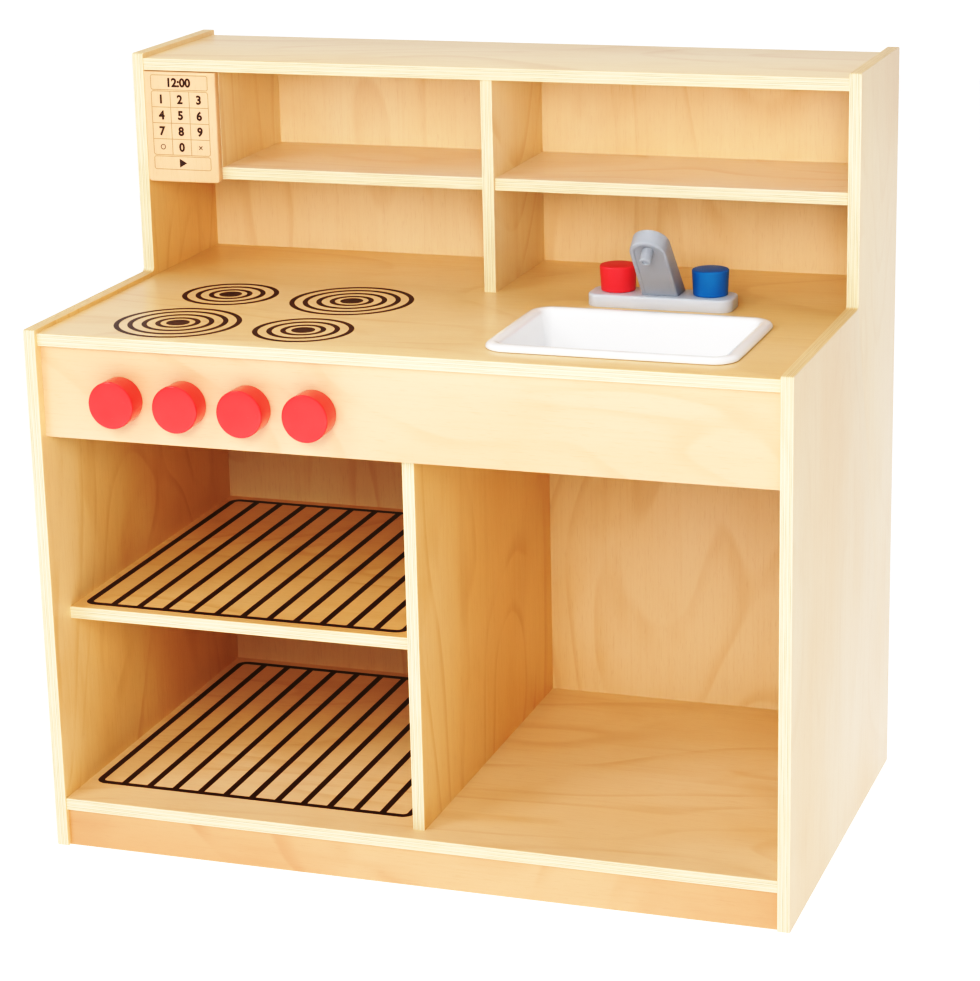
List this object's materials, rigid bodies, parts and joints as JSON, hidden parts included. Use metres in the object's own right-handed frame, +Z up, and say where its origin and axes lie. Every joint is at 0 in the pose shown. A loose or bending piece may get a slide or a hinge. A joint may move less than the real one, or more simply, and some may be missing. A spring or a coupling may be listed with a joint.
{
  "type": "toy kitchen",
  "caption": "Plywood play kitchen with printed hob and oven racks, turning stove knobs, drop-in sink, mixer tap and raised shelves.",
  "frame": {"origin": "on the floor, at the middle of the whole object's width and depth, the stove knobs included", "axes": "+Z up, +Y from the open front towards the back panel, +X from the hob side towards the sink side"},
  "size_m": [0.914, 0.5624, 0.92],
  "materials": {
    "birch_plywood": "clear-lacquered light birch plywood, satin, with cream laminated edges",
    "beech_dowel": "bare fluted beech",
    "knob_coral": "coral red moulded, satin",
    "tap_red": "bright red moulded",
    "tap_blue": "mid blue moulded",
    "faucet_grey": "light grey moulded, satin",
    "sink_white": "white moulded sheet plastic",
    "zinc_steel": "bright zinc plated",
    "printed_ink": "dark brown screen print on the boards, drawn in the visual model only"
  },
  "bodies": {
    "cabinet": {"left_side_panel": "birch_plywood", "right_side_panel": "birch_plywood", "bottom_shelf": "birch_plywood", "kick_board": "birch_plywood", "lower_divider": "birch_plywood", "oven_shelf": "birch_plywood", "front_apron": "birch_plywood", "countertop": "birch_plywood", "back_panel": "birch_plywood", "top_panel": "birch_plywood", "upper_divider": "birch_plywood", "left_upper_shelf": "birch_plywood", "right_upper_shelf": "birch_plywood", "keypad_partition": "birch_plywood", "keypad_board": "birch_plywood", "bottom_shelf_dowel_left_front": "beech_dowel", "bottom_shelf_dowel_left_rear": "beech_dowel", "bottom_shelf_dowel_right_front": "beech_dowel", "bottom_shelf_dowel_right_rear": "beech_dowel", "countertop_dowel_left_front": "beech_dowel", "countertop_dowel_left_rear": "beech_dowel", "countertop_dowel_right_front": "beech_dowel", "countertop_dowel_right_rear": "beech_dowel", "top_panel_dowel_left_front": "beech_dowel", "top_panel_dowel_left_rear": "beech_dowel", "top_panel_dowel_right_front": "beech_dowel", "top_panel_dowel_right_rear": "beech_dowel", "back_screw_bottom_shelf_1": "zinc_steel", "back_screw_bottom_shelf_2": "zinc_steel", "back_screw_bottom_shelf_3": "zinc_steel", "back_screw_oven_shelf_1": "zinc_steel", "back_screw_countertop_1": "zinc_steel", "back_screw_countertop_2": "zinc_steel", "back_screw_countertop_3": "zinc_steel", "back_screw_upper_shelf_1": "zinc_steel", "back_screw_upper_shelf_2": "zinc_steel", "faucet_base": "faucet_grey", "faucet_spout": "faucet_grey", "faucet_nozzle": "faucet_grey", "faucet_base_screw_left": "zinc_steel", "faucet_base_screw_right": "zinc_steel", "faucet_spout_screw": "zinc_steel", "stove_knob_washer_1": "zinc_steel", "stove_knob_washer_2": "zinc_steel", "stove_knob_washer_3": "zinc_steel", "stove_knob_washer_4": "zinc_steel"},
    "sink": {"sink_basin": "sink_white"},
    "stove_knob_1": {"stove_knob_1": "knob_coral", "stove_knob_bolt_1": "zinc_steel"},
    "stove_knob_2": {"stove_knob_2": "knob_coral", "stove_knob_bolt_2": "zinc_steel"},
    "stove_knob_3": {"stove_knob_3": "knob_coral", "stove_knob_bolt_3": "zinc_steel"},
    "stove_knob_4": {"stove_knob_4": "knob_coral", "stove_knob_bolt_4": "zinc_steel"},
    "hot_tap": {"hot_tap": "tap_red", "hot_tap_screw": "zinc_steel"},
    "cold_tap": {"cold_tap": "tap_blue", "cold_tap_screw": "zinc_steel"}
  },
  "joints": [
    {"name": "stove_knob_1_turn", "type": "hinge", "parent": "cabinet", "child": "stove_knob_1", "pos_m": [-0.342, -0.25225, 0.5663], "axis": [0, -1, 0], "continuous": true},
    {"name": "stove_knob_2_turn", "type": "hinge", "parent": "cabinet", "child": "stove_knob_2", "pos_m": [-0.2618, -0.25225, 0.5663], "axis": [0, -1, 0], "continuous": true},
    {"name": "stove_knob_3_turn", "type": "hinge", "parent": "cabinet", "child": "stove_knob_3", "pos_m": [-0.1816, -0.25225, 0.5663], "axis": [0, -1, 0], "continuous": true},
    {"name": "stove_knob_4_turn", "type": "hinge", "parent": "cabinet", "child": "stove_knob_4", "pos_m": [-0.1014, -0.25225, 0.5663], "axis": [0, -1, 0], "continuous": true},
    {"name": "hot_tap_turn", "type": "hinge", "parent": "cabinet", "child": "hot_tap", "pos_m": [0.1685, 0.05525, 0.6563], "axis": [0, 0, 1], "continuous": true},
    {"name": "cold_tap_turn", "type": "hinge", "parent": "cabinet", "child": "cold_tap", "pos_m": [0.2815, 0.05525, 0.6563], "axis": [0, 0, 1], "continuous": true},
    {"name": "sink_lift", "type": "slide", "parent": "cabinet", "child": "sink", "axis": [0, 0, 1], "range_m": [0, 0.045]}
  ]
}
